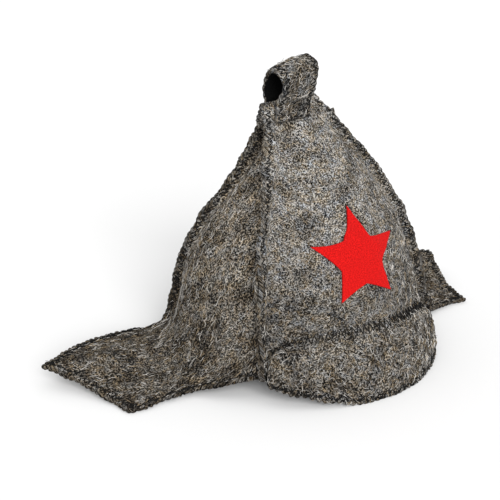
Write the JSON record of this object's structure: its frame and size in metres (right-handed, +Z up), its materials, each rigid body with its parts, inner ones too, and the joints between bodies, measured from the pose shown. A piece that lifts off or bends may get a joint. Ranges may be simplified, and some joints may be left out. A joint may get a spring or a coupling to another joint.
{
  "type": "felt budenovka cap",
  "caption": "Pointed felt cap with raised seams, a drooping peak, spread ear flaps, a red star and a hanging loop over the crown.",
  "frame": {"origin": "on the floor, below the middle of the cap's bounding box", "axes": "+Z up, -Y the front with the peak, +X the wearer's left"},
  "size_m": [0.38, 0.2138, 0.2256],
  "materials": {
    "grey_felt": "coarse matt wool felt, dark and pale fibres mixed",
    "red_felt": "smooth matt craft felt"
  },
  "bodies": {
    "root": {"front_panel": "grey_felt", "back_panel": "grey_felt", "left_side_panel": "grey_felt", "right_side_panel": "grey_felt", "peak": "grey_felt", "hanging_loop": "grey_felt", "star": "red_felt"}
  },
  "joints": []
}
